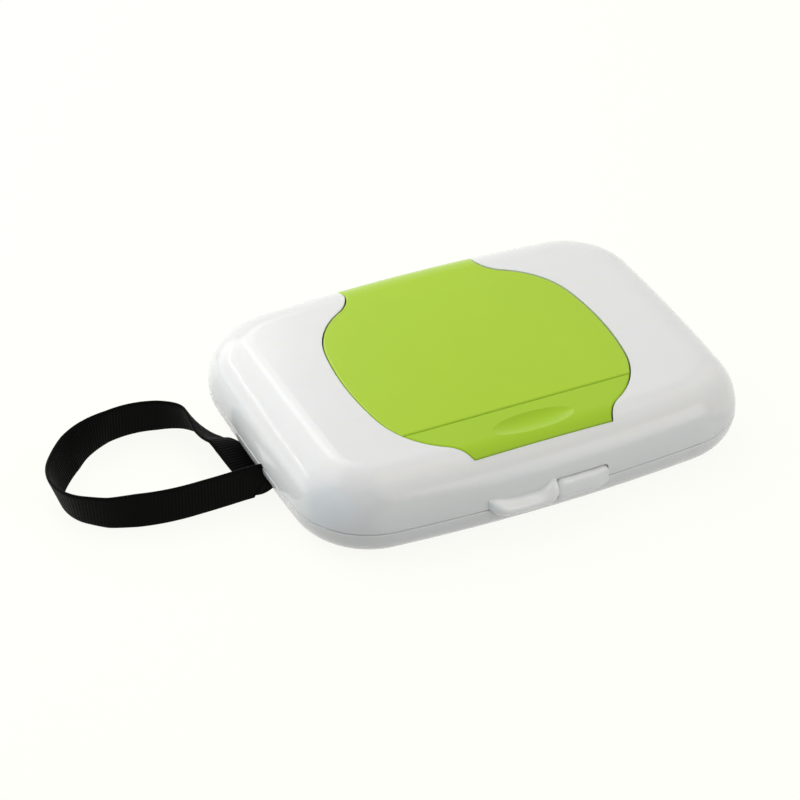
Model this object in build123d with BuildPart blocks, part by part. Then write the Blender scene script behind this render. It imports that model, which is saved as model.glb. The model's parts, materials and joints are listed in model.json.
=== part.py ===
from build123d import *
import math
import os

# Portable wipes case: two hinged shells, and a flip lid in the upper one that a button strip releases.
# Millimetres. X runs along the case, -Y is the front, +Z is up. The origin is under the middle of the case.

# Case body
LENGTH = 165.0
DEPTH = 126.0
HEIGHT = 29.0
CORNER_RADIUS = 28.0
FRONT_BOW = 2.5  # how far the front and rear bulge between the round corners
SIDE_BOW = 0.5  # how far the two ends bulge
TOP_FILLET = 16.5
BOTTOM_FILLET = 11.5
CROWN = 1.0  # drop of the top from the middle to the front
WALL = 2.0
PARTING_Z = 11.5
PARTING_GAP = 0.3
PARTING_EDGE = 0.4

# Rim and its seal
RIM_WIDTH = 4.6
RIM_HEIGHT = 1.5
RIM_DEPTH = 2.4
SEAL_INSET = 1.9
SEAL_WIDTH = 1.5
SEAL_HEIGHT = 1.5
SEAL_PROUD = 0.15
SEAL_SIDE_GAP = 0.05

# Rear hinges of the shells
HINGE_OUTSET = 1.0
HINGE_X = 40.0
KNUCKLE_RADIUS = 3.0
KNUCKLE_MIDDLE = 8.0
KNUCKLE_END = 6.5
KNUCKLE_GAP = 0.5
KNUCKLE_CLEARANCE = 0.3
KNUCKLE_WEB = 4.0
SHELL_PIN_RADIUS = 1.0
RUNNING_FIT = 0.06
PIN_CHAMFER = 0.2

# Finger tabs at the front
LIFT_TAB_LEFT = -24.5
LIFT_TAB_RIGHT = -0.4
LIFT_TAB_OUT = 4.0
# Slices of the tab from its left end to its right: share of the way, share of the reach, top and bottom
LIFT_TAB_SECTIONS = [
    (0.0, 0.05, 15.6, 12.4),
    (0.05, 0.5, 15.6, 11.3),
    (0.13, 0.86, 15.4, 10.2),
    (0.27, 1.0, 14.6, 9.5),
    (0.45, 1.0, 14.2, 9.3),
    (0.65, 1.0, 14.2, 9.3),
    (0.82, 1.0, 14.9, 9.4),
    (0.93, 0.93, 16.6, 9.7),
    (1.0, 0.7, 17.0, 10.6),
]
TAB_GAP = 0.45
PRESS_TAB_LEFT = 0.4
PRESS_TAB_RIGHT = 19.5
PRESS_TAB_OUT = 1.9
PRESS_TAB_TOP = 16.1
PRESS_TAB_SECTIONS = [
    (0.0, 0.8, PRESS_TAB_TOP - 0.9, 8.6),
    (0.05, 1.0, PRESS_TAB_TOP - 0.1, 8.3),
    (0.3, 1.0, PRESS_TAB_TOP, 8.2),
    (0.6, 0.95, PRESS_TAB_TOP, 8.2),
    (0.84, 0.8, PRESS_TAB_TOP, 8.6),
    (0.95, 0.5, PRESS_TAB_TOP - 0.2, 9.4),
    (1.0, 0.3, PRESS_TAB_TOP - 1.0, 10.4),
]
TAB_ROOT = 1.3  # how far behind the front face the backs of both tabs stand
NOTCH_GAP = 0.4
NOTCH_CORNER = 1.2
NOTCH_BACK = 3.0
NOTCH_BACK_RISE = 1.5

# Strap slot, bar and strap
STRAP_Y = -9.0
STRAP_Z = 5.6
STRAP_WIDTH = 13.5
STRAP_THICKNESS = 1.2
STRAP_BAR_RADIUS = 1.2
STRAP_BAR_INSET = 3.6
STRAP_SLOT_WIDTH = 15.5
STRAP_SLOT_HEIGHT = 6.6
STRAP_SLOT_DEPTH = 7.2
STRAP_SLOT_WALL = 1.5
STRAP_LEG = 7.5

# Insert opening
INSERT_HALF_WIDTH = 48.3
INSERT_CENTRE_Y = -2.8
FLANK_RADIUS = 120.0
FLANK_TURN = 10.0
SHOULDER_RADIUS = 32.0
SHOULDER_TURN = 48.5
WAIST_RADIUS = 14.0
WAIST_TURN = 39.5
NECK_HALF_WIDTH = 25.4
INSERT_FRONT_Y = -53.4
SEAM_Y = -34.5
SEAM_GAP = 0.3
EDGE_GAP = 0.45

# Dispenser frame
SEAT_GAP = 0.05
FLANGE = 4.5
FLANGE_THICKNESS = 1.6
WELL_GAP = 0.6
WELL_WALL = 1.5
DECK_TOP = 21.8
DECK_THICKNESS = 1.8
OUTLET_Y = 6.0
OUTLET_LENGTH = 62.0
OUTLET_WIDTH = 26.0
OUTLET_RIM = 2.0
OUTLET_RIM_HEIGHT = 1.8
MEMBRANE_MARGIN = 4.0
MEMBRANE_THICKNESS = 1.2
MEMBRANE_SLOT_LENGTH = 44.0
MEMBRANE_SLOT_WIDTH = 7.0
PETAL_PITCH = 14.0
PETAL_SLIT = 0.6
PETAL_LENGTH = 17.0
RING_GAP = 0.1
RING_MARGIN = 7.0
RING_OVERLAP = 1.0
RING_THICKNESS = 1.5
EAR_X = 54.0
EAR_Y = 21.0
EAR_RADIUS = 3.2
SCREW_RADIUS = 0.9
SCREW_HEAD_RADIUS = 2.0
SCREW_HEAD_HEIGHT = 1.2
SCREW_DEPTH = 3.6
SCREW_HOLE_GAP = 0.2
SCREW_SLOT = 0.5
BOSS_RADIUS = 2.6

# Lid and its hinge
LID_WALL = 1.8
LID_SKIRT_Z = 24.8
LID_SKIRT_WALL = 1.6
LID_UPRIGHT_Z = 27.6  # below this the lid's sides slope inwards, to swing clear of the opening
LID_TAPER = 27.0
LID_EDGE = 0.6
LID_PANEL_THICKNESS = 1.2
LID_PANEL_GAP = 0.1
LID_HOLLOW_REAR_Y = 42.0
LID_NECK_START_Y = 48.5
LID_NECK_WALL = 2.4
LID_BARREL_RADIUS = 3.4
LID_BARREL_ANGLE = 33.0
LUG_RADIUS = 3.0
LUG_GAP = 0.35
LUG_INNER_X = 19.8
BAY_FRONT_Y = 51.0
BAY_WALL = 1.5
BAY_FLOOR = 1.0
REAR_SLOT_Z = 15.6
LID_PIN_RADIUS = 1.0
LID_SEAL_WIDTH = 1.6
LID_SEAL_GAP = 0.1
TONGUE_HALF_WIDTH = 7.5
TONGUE_THICKNESS = 1.2
TONGUE_BAR = 1.0
TONGUE_DECK_GAP = 0.3
SPRING_BAY = 10.0
SPRING_COIL_RADIUS = 1.75
SPRING_WIRE_RADIUS = 0.3
SPRING_TURNS = 5
SPRING_LENGTH = 6.0
SPRING_REST_X = 2.0
SPRING_BAY_GAP = 0.35

# Button and latch
BUTTON_TRAVEL = 1.5
BUTTON_WALL = 1.8
BUTTON_SKIRT_Z = 24.6
BUTTON_SKIRT_WALL = 1.5
BUTTON_EDGE = 0.6
DISH_X = 0.5
DISH_Y = -44.8
DISH_HALF_LENGTH = 15.0
DISH_HALF_WIDTH = 5.0
DISH_DEPTH = 1.2
DISH_RISE = 4.5  # how far the stretched ball's centre stands above the surface: the dish's sides are shallow
DISH_PAD = 0.4
POST_X = 28.0
POST_Y = -42.0
POST_RADIUS = 1.6
POST_FIT = 0.08
POST_COLLAR = 1.4
POST_COLLAR_DROP = 1.2
RIB_X = 10.0
RIB_WIDTH = 3.0
RIB_TIP_Y = -43.0
RIB_TIP = 0.8
LATCH_BOTTOM = 23.4
LATCH_THICKNESS = 1.2
LATCH_HALF_WIDTH = 16.0
LATCH_FRONT_Y = -47.5
LATCH_REAR_Y = -38.6
LATCH_RIB_GAP = 0.4
RAMP_GAP = 0.3
NOSE_HALF_WIDTH = 5.0
NOSE_GAP = 0.25
RAIL_WIDTH = 1.5
RAIL_GAP = 0.15
LATCH_SPRING_HALF_WIDTH = 1.3
LATCH_SPRING_THICKNESS = 0.3
LATCH_SPRING_BOTTOM = 22.4
LATCH_SPRING_TOP = 24.0
LATCH_SPRING_FOLDS = 6
LATCH_SPRING_BEND = 0.45
LATCH_SPRING_GAP = 0.1
LATCH_NOTCH_HALF_WIDTH = 1.8
LATCH_NOTCH_DEPTH = 4.0
LATCH_STUB_LENGTH = 1.2
LATCH_STUB_GAP = 0.2
SPRING_POST_Y = -50.4
SPRING_POST_HALF_WIDTH = 2.5
SPRING_POST_LENGTH = 1.0
SPRING_POST_DROP = 0.6
RAIL_INSET = 1.5
SNAP_LEG_X = 21.5
SNAP_LEG_Y = -46.5
SNAP_LEG_WIDTH = 3.0
SNAP_LEG_THICKNESS = 1.2
SNAP_HOOK = 0.8
SNAP_GAP = 0.2

# Places worked out from the sizes above
CORNER_X = LENGTH / 2 - SIDE_BOW - CORNER_RADIUS
CORNER_Y = DEPTH / 2 - FRONT_BOW - CORNER_RADIUS


def bow_radius(bow, half_run):
    """Radius of a side that bulges by bow over half_run each way and meets the corners' arcs."""
    return ((bow + CORNER_RADIUS) ** 2 + half_run**2 - CORNER_RADIUS**2) / (2 * bow)


FRONT_ARC_RADIUS = bow_radius(FRONT_BOW, CORNER_X)
SIDE_ARC_RADIUS = bow_radius(SIDE_BOW, CORNER_Y)
HINGE_Y = DEPTH / 2 + HINGE_OUTSET
HINGE_Z = PARTING_Z + PARTING_GAP / 2
COVER_Z = PARTING_Z + PARTING_GAP
DECK_BOTTOM = DECK_TOP - DECK_THICKNESS
REAR_CENTRE_Y = DEPTH / 2 - TOP_FILLET  # centre of the rear rounding
REAR_CENTRE_Z = HEIGHT - TOP_FILLET
PIVOT_REACH = TOP_FILLET - LID_BARREL_RADIUS
PIVOT_Y = REAR_CENTRE_Y + PIVOT_REACH * math.cos(math.radians(LID_BARREL_ANGLE))
PIVOT_Z = REAR_CENTRE_Z + PIVOT_REACH * math.sin(math.radians(LID_BARREL_ANGLE))
FRONT_Y = -DEPTH / 2
STRAP_BAR_X = -LENGTH / 2 + STRAP_BAR_INSET
BAY_FLOOR_Z = COVER_Z + RIM_HEIGHT + SEAT_GAP
LATCH_TOP = LATCH_BOTTOM + LATCH_THICKNESS


def case_outline(inset):
    """Plan of the case: four bowed sides and round corners, all tangent, moved inwards by inset."""
    corner_angle = math.degrees(math.atan2(FRONT_ARC_RADIUS - DEPTH / 2 + CORNER_Y, CORNER_X))
    end_angle = math.degrees(math.atan2(CORNER_Y, SIDE_ARC_RADIUS - LENGTH / 2 + CORNER_X))
    front_radius = FRONT_ARC_RADIUS - inset
    side_radius = SIDE_ARC_RADIUS - inset
    corner_radius = CORNER_RADIUS - inset
    corner_turn = corner_angle - end_angle
    front_turn = 180 - 2 * corner_angle
    with BuildSketch() as plan:
        with BuildLine():
            CenterArc((LENGTH / 2 - SIDE_ARC_RADIUS, 0), side_radius, -end_angle, 2 * end_angle)
            CenterArc((CORNER_X, CORNER_Y), corner_radius, end_angle, corner_turn)
            CenterArc((0, DEPTH / 2 - FRONT_ARC_RADIUS), front_radius, corner_angle, front_turn)
            CenterArc((-CORNER_X, CORNER_Y), corner_radius, 180 - corner_angle, corner_turn)
            CenterArc((SIDE_ARC_RADIUS - LENGTH / 2, 0), side_radius, 180 - end_angle, 2 * end_angle)
            CenterArc((-CORNER_X, -CORNER_Y), corner_radius, 180 + end_angle, corner_turn)
            CenterArc((0, FRONT_ARC_RADIUS - DEPTH / 2), front_radius, 180 + corner_angle, front_turn)
            CenterArc((CORNER_X, -CORNER_Y), corner_radius, -corner_angle, corner_turn)
        make_face()
    return plan.sketch


def case_body(inset):
    """The whole rounded case as one solid, with every face moved inwards by inset."""
    top = HEIGHT - inset
    with BuildPart() as body:
        with BuildSketch(Plane.XY.offset(inset)):
            add(case_outline(inset))
        extrude(amount=HEIGHT - 2 * inset)
        with BuildSketch(Plane.YZ.offset(-LENGTH)):
            with BuildLine():
                ThreePointArc((-DEPTH, top - 4 * CROWN), (0, top), (DEPTH, top - 4 * CROWN))
                Polyline((DEPTH, top - 4 * CROWN), (DEPTH, -WALL), (-DEPTH, -WALL), (-DEPTH, top - 4 * CROWN))
            make_face()
        extrude(amount=2 * LENGTH, mode=Mode.INTERSECT)
        fillet(body.faces().sort_by(Axis.Z)[-1].edges(), TOP_FILLET - inset)
        fillet(body.faces().sort_by(Axis.Z)[0].edges(), BOTTOM_FILLET - inset)
    return body.part


def insert_outline(grow):
    """Plan of the green insert: a wide middle, waists in front and behind, and a neck over the rear edge."""
    with BuildSketch() as plan:
        with BuildLine() as edge:
            flank = JernArc((INSERT_HALF_WIDTH, INSERT_CENTRE_Y), (0, -1), FLANK_RADIUS, -FLANK_TURN)
            shoulder = JernArc(flank @ 1, flank % 1, SHOULDER_RADIUS, -SHOULDER_TURN)
            waist = JernArc(shoulder @ 1, shoulder % 1, WAIST_RADIUS, WAIST_TURN)
            Polyline(waist @ 1, (NECK_HALF_WIDTH, INSERT_FRONT_Y), (0, INSERT_FRONT_Y))
            rear_flank = JernArc((INSERT_HALF_WIDTH, INSERT_CENTRE_Y), (0, 1), FLANK_RADIUS, FLANK_TURN)
            rear_shoulder = JernArc(rear_flank @ 1, rear_flank % 1, SHOULDER_RADIUS, SHOULDER_TURN)
            rear_waist = JernArc(rear_shoulder @ 1, rear_shoulder % 1, WAIST_RADIUS, -WAIST_TURN)
            neck_start = (NECK_HALF_WIDTH, (rear_waist @ 1).Y + CROWN)
            Polyline(rear_waist @ 1, neck_start, (NECK_HALF_WIDTH, DEPTH), (0, DEPTH))
            mirror(about=Plane.YZ)
        make_face()
        if grow != 0:
            offset(amount=grow)
    return plan.sketch


def half_plane(low_y, high_y):
    """A wide rectangle between two depths, to keep one stretch of a plan."""
    with BuildSketch() as strip:
        with Locations((0, (low_y + high_y) / 2)):
            Rectangle(2 * LENGTH, high_y - low_y)
    return strip.sketch


def plan_stretch(outline, low_y, high_y):
    """The stretch of an outline between two depths."""
    with BuildSketch() as stretch:
        add(outline)
        add(half_plane(low_y, high_y), mode=Mode.INTERSECT)
    return stretch.sketch


def x_cylinder(radius, low_x, high_x, y, z):
    """A cylinder along X."""
    with BuildPart() as rod:
        with BuildSketch(Plane.YZ.offset(low_x)):
            with Locations((y, z)):
                Circle(radius)
        extrude(amount=high_x - low_x)
    return rod.part


def block(low, high):
    """A box between two corners."""
    size = [high[i] - low[i] for i in range(3)]
    with BuildPart(Plane(low)) as box:
        Box(*size, align=(Align.MIN, Align.MIN, Align.MIN))
    return box.part


SLOT_LOW = (-LENGTH / 2, STRAP_Y - STRAP_SLOT_WIDTH / 2, STRAP_Z - STRAP_SLOT_HEIGHT / 2)
SLOT_HIGH = (-LENGTH / 2 + STRAP_SLOT_DEPTH, STRAP_Y + STRAP_SLOT_WIDTH / 2, STRAP_Z + STRAP_SLOT_HEIGHT / 2)

# Spans of the shell hinges' knuckles along X, for the right-hand hinge
MIDDLE_SPAN = (HINGE_X - KNUCKLE_MIDDLE / 2, HINGE_X + KNUCKLE_MIDDLE / 2)
END_SPANS = [
    (MIDDLE_SPAN[0] - KNUCKLE_GAP - KNUCKLE_END, MIDDLE_SPAN[0] - KNUCKLE_GAP),
    (MIDDLE_SPAN[1] + KNUCKLE_GAP, MIDDLE_SPAN[1] + KNUCKLE_GAP + KNUCKLE_END),
]


def knuckle(span, rising):
    """One hinge knuckle with the web that joins it to its shell."""
    web_low = HINGE_Z + PARTING_GAP / 2 if rising else HINGE_Z - KNUCKLE_RADIUS
    web_high = HINGE_Z + KNUCKLE_RADIUS if rising else HINGE_Z - PARTING_GAP / 2
    with BuildPart() as piece:
        add(x_cylinder(KNUCKLE_RADIUS, span[0], span[1], HINGE_Y, HINGE_Z))
        add(block((span[0], HINGE_Y - KNUCKLE_WEB, web_low), (span[1], HINGE_Y, web_high)))
    return piece.part


def knuckle_space(span):
    """The room that the other shell leaves round a knuckle."""
    radius = KNUCKLE_RADIUS + KNUCKLE_CLEARANCE
    return x_cylinder(radius, span[0] - KNUCKLE_GAP, span[1] + KNUCKLE_GAP, HINGE_Y, HINGE_Z)


def shell_pin_bore(radius):
    """The bore of one shell hinge, or its pin, from end to end."""
    return x_cylinder(radius, END_SPANS[0][0], END_SPANS[1][1], HINGE_Y, HINGE_Z)


def rim(low_z, high_z):
    """The flange that thickens a shell at its open edge."""
    with BuildPart() as ring:
        with BuildSketch(Plane.XY.offset(low_z)):
            add(case_outline(WALL / 2))
            add(case_outline(RIM_WIDTH), mode=Mode.SUBTRACT)
        extrude(amount=high_z - low_z)
    return ring.part


def lip_section(x, reach, top, bottom):
    """A slice of a finger tab: a rounded lip on the front face, with its root in the wall."""
    root_y = FRONT_Y + TAB_ROOT
    outer_y = FRONT_Y - reach
    height = top - bottom
    with BuildSketch(Plane((x, 0, 0), x_dir=(0, 1, 0), z_dir=(1, 0, 0))) as slice_of_tab:
        with BuildLine():
            outside = Spline(
                (root_y, top),
                (outer_y + 0.45 * reach, top - 0.1 * height),
                (outer_y, bottom + 0.5 * height),
                (outer_y + 0.25 * reach, bottom + 0.12 * height),
                (root_y, bottom),
            )
            Line(outside @ 1, outside @ 0)
        make_face()
    return slice_of_tab.sketch


def finger_tab(left, right, out, sections):
    """A tab along the front, through its slices from left to right."""
    with BuildPart() as tab:
        for share, reach, top, bottom in sections:
            add(lip_section(left + share * (right - left), reach * out, top, bottom))
        loft()
    return tab.part


def lift_tab():
    """The tab that hangs from the upper shell in front of the lower one."""
    with BuildPart() as tab:
        add(finger_tab(LIFT_TAB_LEFT, LIFT_TAB_RIGHT, LIFT_TAB_OUT, LIFT_TAB_SECTIONS))
        with BuildSketch(Plane.XY):
            add(case_outline(-TAB_GAP))
        extrude(amount=COVER_Z, mode=Mode.SUBTRACT)
    return tab.part


def press_tab():
    """The tab that stands up from the lower shell into a notch of the upper one."""
    return finger_tab(PRESS_TAB_LEFT, PRESS_TAB_RIGHT, PRESS_TAB_OUT, PRESS_TAB_SECTIONS)


def notch():
    """The room in the upper shell for the press tab."""
    width = PRESS_TAB_RIGHT - PRESS_TAB_LEFT + 2 * NOTCH_GAP
    height = PRESS_TAB_TOP + NOTCH_GAP
    with BuildPart() as room:
        with BuildSketch(Plane.XZ.offset(-(FRONT_Y + TAB_ROOT + NOTCH_GAP))) as front:
            with Locations(((PRESS_TAB_LEFT + PRESS_TAB_RIGHT) / 2, height / 2)):
                Rectangle(width, height)
            fillet(front.vertices().group_by(Axis.Z)[-1], NOTCH_CORNER)
        extrude(amount=TAB_ROOT + NOTCH_GAP + 2 * PRESS_TAB_OUT)
        split(bisect_by=Plane.XY.offset(PARTING_Z), keep=Keep.TOP)
    return room.part


def notch_backing():
    """The wall that closes the upper shell behind the notch."""
    low = (PRESS_TAB_LEFT - NOTCH_BACK, FRONT_Y + WALL * 0.8, COVER_Z)
    high = (PRESS_TAB_RIGHT + NOTCH_BACK, FRONT_Y + RIM_WIDTH, PRESS_TAB_TOP + NOTCH_BACK_RISE)
    return block(low, high)


def strap_bar_rod():
    """The bar across the strap slot, pressed into the housing's two side walls."""
    length = STRAP_SLOT_WIDTH + 2 * STRAP_SLOT_WALL
    with BuildPart() as rod:
        with BuildSketch(Plane.XZ.offset(-STRAP_Y - length / 2)):
            with Locations((STRAP_BAR_X, STRAP_Z)):
                Circle(STRAP_BAR_RADIUS)
        extrude(amount=length)
    return rod.part


def screw_places():
    """The four screw places round the insert."""
    return [(side * EAR_X, INSERT_CENTRE_Y + end * EAR_Y) for side in (-1, 1) for end in (-1, 1)]


def strap_housing():
    """The pocket inside the lower shell's left side that takes the strap and its bar."""
    with BuildPart() as housing:
        add(block(
            (-LENGTH / 2, SLOT_LOW[1] - STRAP_SLOT_WALL, WALL / 2),
            (SLOT_HIGH[0] + STRAP_SLOT_WALL, SLOT_HIGH[1] + STRAP_SLOT_WALL, SLOT_HIGH[2] + STRAP_SLOT_WALL),
        ))
        add(case_body(WALL / 2), mode=Mode.INTERSECT)
    return housing.part


def spring(coil_radius, wire_radius, length, turns, start, axis):
    """A plain helical spring from a start point along an axis."""
    with BuildPart() as coil:
        with BuildLine() as path:
            Helix(length / turns, length, coil_radius, center=start, direction=axis)
        with BuildSketch(Plane(path.line @ 0, z_dir=path.line % 0)):
            Circle(wire_radius)
        sweep()
    return coil.part


def folded_strip():
    """The line of the latch spring: it runs from side to side, a step further back at each fold."""
    step = (LATCH_SPRING_END_Y - LATCH_SPRING_START_Y) / LATCH_SPRING_FOLDS
    points = []
    for fold in range(LATCH_SPRING_FOLDS + 1):
        side = LATCH_SPRING_HALF_WIDTH if fold % 2 else -LATCH_SPRING_HALF_WIDTH
        points.append((-side, LATCH_SPRING_START_Y + fold * step))
        points.append((side, LATCH_SPRING_START_Y + fold * step))
    return points


def stadium(length, width, low_z, high_z):
    """A solid with a slot-shaped plan, centred on the wipe outlet."""
    with BuildPart() as solid:
        with BuildSketch(Plane.XY.offset(low_z)):
            with Locations((0, OUTLET_Y)):
                SlotOverall(length, width)
        extrude(amount=high_z - low_z)
    return solid.part


def column(sketch, low_z, high_z):
    """A plan raised between two heights."""
    with BuildPart() as solid:
        with BuildSketch(Plane.XY.offset(low_z)):
            add(sketch)
        extrude(amount=high_z - low_z)
    return solid.part


def within_case(solid, inset):
    """What of a solid lies inside the case body moved inwards by inset."""
    with BuildPart() as inside:
        add(solid)
        add(case_body(inset), mode=Mode.INTERSECT)
    return inside.part


def rim_edges(solid):
    """The edges where a cap's top surface meets its upright sides."""
    upright = [face for face in solid.faces() if abs(face.normal_at().Z) < 0.01]
    crowned = [face for face in solid.faces() if face.normal_at().Z > 0.05]
    sides = [edge for face in upright for edge in face.edges()]
    return [edge for face in crowned for edge in face.edges() if any(edge.is_same(side) for side in sides)]


def both_sides(pieces):
    """The pieces together with their mirror images across the middle of the case."""
    return list(pieces) + [piece.mirror(Plane.YZ) for piece in pieces]


def save(builder, name):
    """Label a finished sub-part and write it to its STEP file."""
    builder.part.label = name
    export_step(builder.part, f"parts/{name}.step")
    print(name, len(builder.part.solids()), round(builder.part.volume, 1), builder.part.is_valid)


LID_PLAN_FRONT = SEAM_Y + SEAM_GAP / 2
BUTTON_PLAN_REAR = SEAM_Y - SEAM_GAP / 2
NOSE_TIP_Y = LID_PLAN_FRONT + LID_SKIRT_WALL + LID_PANEL_GAP - NOSE_GAP
RIB_TIP_Z = LATCH_TOP + LATCH_RIB_GAP
RAMP_LINE = RIB_TIP_Y + RIB_TIP_Z  # y + z along the ribs' slanting faces
LUG_OUTER_X = NECK_HALF_WIDTH - 4 * SEAT_GAP
LID_HOLLOW_INSET = LID_SKIRT_WALL + (LID_UPRIGHT_Z - LID_SKIRT_Z) * math.tan(math.radians(LID_TAPER))
RIM_TOP_Z = DECK_TOP + OUTLET_RIM_HEIGHT
SNAP_SLOT_Y = SNAP_LEG_Y + SNAP_HOOK / 2
RAIL_LENGTH = LATCH_REAR_Y - LATCH_FRONT_Y
RAIL_Y = (LATCH_REAR_Y + LATCH_FRONT_Y) / 2
SUPPORT_RAIL_X = LATCH_HALF_WIDTH - RAIL_INSET - RAIL_WIDTH / 2
SIDE_RAIL_X = LATCH_HALF_WIDTH + RAIL_GAP + RAIL_WIDTH / 2
LATCH_WAY = SIDE_RAIL_X + RAIL_WIDTH
MEMBRANE_LENGTH = OUTLET_LENGTH + 2 * MEMBRANE_MARGIN
MEMBRANE_WIDTH = OUTLET_WIDTH + 2 * MEMBRANE_MARGIN
RING_LENGTH = OUTLET_LENGTH + 2 * RING_MARGIN
RING_WIDTH = OUTLET_WIDTH + 2 * RING_MARGIN
RING_BOTTOM_Z = DECK_BOTTOM - MEMBRANE_THICKNESS - RING_THICKNESS
BARREL_END_X = LUG_INNER_X - LUG_GAP
SPRING_ROOM = SPRING_COIL_RADIUS + SPRING_WIRE_RADIUS + SPRING_BAY_GAP
LEG_TOP_Z = PIVOT_Z + SPRING_COIL_RADIUS + SPRING_WIRE_RADIUS
LEG_END_Y = BAY_FRONT_Y + SPRING_BAY_GAP
TONGUE_Y = LID_PLAN_FRONT + LID_SKIRT_WALL + LID_PANEL_GAP
TONGUE_BOTTOM_Z = DECK_TOP + TONGUE_DECK_GAP
DISH_TOP_Z = HEIGHT - CROWN * (2 * DISH_Y / DEPTH) ** 2
DISH_PAD_Z = DISH_TOP_Z - BUTTON_WALL - DISH_PAD
POST_TOP_Z = DISH_TOP_Z - BUTTON_WALL / 2
LATCH_SPRING_START_Y = SPRING_POST_Y + LATCH_SPRING_GAP + LATCH_SPRING_THICKNESS / 2
LATCH_SPRING_END_Y = LATCH_FRONT_Y + LATCH_NOTCH_DEPTH - LATCH_SPRING_GAP - LATCH_SPRING_THICKNESS / 2


def seal_band(grow, low_z, high_z):
    """The lid seal's ring over the outlet's rim, or its groove."""
    middle_length = OUTLET_LENGTH + OUTLET_RIM
    middle_width = OUTLET_WIDTH + OUTLET_RIM
    half = LID_SEAL_WIDTH + 2 * grow
    with BuildPart() as band:
        add(stadium(middle_length + half, middle_width + half, low_z, high_z))
        add(stadium(middle_length - half, middle_width - half, low_z, high_z), mode=Mode.SUBTRACT)
    return band.part


def dish():
    """The oval thumb dish: the foot of a stretched ball that stands mostly above the surface."""
    ball_height = DISH_RISE + DISH_DEPTH
    spread = 1 / math.sqrt(1 - (DISH_RISE / ball_height) ** 2)
    ball = Solid.make_sphere(1)
    size = (DISH_HALF_LENGTH * spread, DISH_HALF_WIDTH * spread, ball_height)
    oval = scale(ball, by=size, mode=Mode.PRIVATE)
    return oval.moved(Location((DISH_X, DISH_Y, DISH_TOP_Z + DISH_RISE)))


def snap_leg():
    """A leg that hooks under the deck and keeps the button from lifting out."""
    hook_top = DECK_BOTTOM - SNAP_GAP
    low = (SNAP_LEG_X - SNAP_LEG_WIDTH / 2, SNAP_LEG_Y - SNAP_LEG_THICKNESS / 2, hook_top - SNAP_HOOK)
    high = (SNAP_LEG_X + SNAP_LEG_WIDTH / 2, SNAP_LEG_Y + SNAP_LEG_THICKNESS / 2, POST_TOP_Z)
    hook_low = (low[0], high[1], low[2])
    hook_high = (high[0], high[1] + SNAP_HOOK, hook_top)
    with BuildPart() as leg:
        add(block(low, high))
        add(block(hook_low, hook_high))
    return leg.part


def ramp_rib():
    """A rib under the button whose slanting face pushes the latch forwards."""
    with BuildPart() as rib:
        with BuildSketch(Plane.YZ.offset(RIB_X - RIB_WIDTH / 2)):
            with BuildLine():
                Polyline(
                    (RIB_TIP_Y, RIB_TIP_Z),
                    (RIB_TIP_Y + RIB_TIP, RIB_TIP_Z),
                    (RIB_TIP_Y + RIB_TIP, POST_TOP_Z),
                    (RAMP_LINE - POST_TOP_Z, POST_TOP_Z),
                    close=True,
                )
            make_face()
        extrude(amount=RIB_WIDTH)
    return rib.part


def rib_window():
    """The window in the latch for a rib, with a front wall that slants as the rib does."""
    line = RAMP_LINE - RAMP_GAP * math.sqrt(2)
    rear_y = RIB_TIP_Y + RIB_TIP + BUTTON_TRAVEL + LATCH_RIB_GAP
    half_width = RIB_WIDTH / 2 + LATCH_RIB_GAP
    with BuildPart() as window:
        with BuildSketch(Plane.YZ.offset(RIB_X - half_width)):
            with BuildLine():
                Polyline(
                    (line - LATCH_BOTTOM, LATCH_BOTTOM),
                    (rear_y, LATCH_BOTTOM),
                    (rear_y, LATCH_TOP),
                    (line - LATCH_TOP, LATCH_TOP),
                    close=True,
                )
            make_face()
        extrude(amount=2 * half_width)
    return window.part


def strap_bight():
    """The webbing's flat turn round the bar, with its two ends."""
    outer = STRAP_BAR_RADIUS + STRAP_THICKNESS
    end_x = STRAP_BAR_X - STRAP_LEG
    with BuildPart() as bight:
        with BuildSketch(Plane.XZ.offset(-STRAP_Y - STRAP_WIDTH / 2)):
            with Locations((STRAP_BAR_X, STRAP_Z)):
                Circle(outer)
            with Locations(((STRAP_BAR_X + end_x) / 2, STRAP_Z)):
                Rectangle(STRAP_LEG, 2 * outer)
            with Locations((STRAP_BAR_X, STRAP_Z)):
                Circle(STRAP_BAR_RADIUS, mode=Mode.SUBTRACT)
            with Locations(((STRAP_BAR_X + end_x) / 2, STRAP_Z)):
                Rectangle(STRAP_LEG, 2 * STRAP_BAR_RADIUS, mode=Mode.SUBTRACT)
        extrude(amount=STRAP_WIDTH)
    return bight.part


# The strap's route in plan, from its near end at the slot round the loop and back along the case
STRAP_ROUTE = [
    (-85.0, -9.5),
    (-101.0, -10.6),
    (-118.0, -10.6),
    (-132.0, -7.5),
    (-143.0, 0.0),
    (-147.5, 14.0),
    (-139.5, 28.0),
    (-127.0, 37.0),
    (-110.5, 41.0),
    (-96.5, 37.0),
    (-90.5, 27.0),
    (-87.5, 13.0),
    (-85.3, -3.0),
]


def arc_radii(route):
    """For each corner, 0.45 of its shorter run divided by the tangent of half the turn."""
    radii = []
    for before, corner, after in zip(route, route[1:], route[2:]):
        run_in = Vector(*corner) - Vector(*before)
        run_out = Vector(*after) - Vector(*corner)
        half_turn = math.radians(run_in.get_angle(run_out) / 2)
        radii.append(0.45 * min(run_in.length, run_out.length) / math.tan(half_turn))
    return radii


STRAP_RADII = arc_radii(STRAP_ROUTE)


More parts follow.
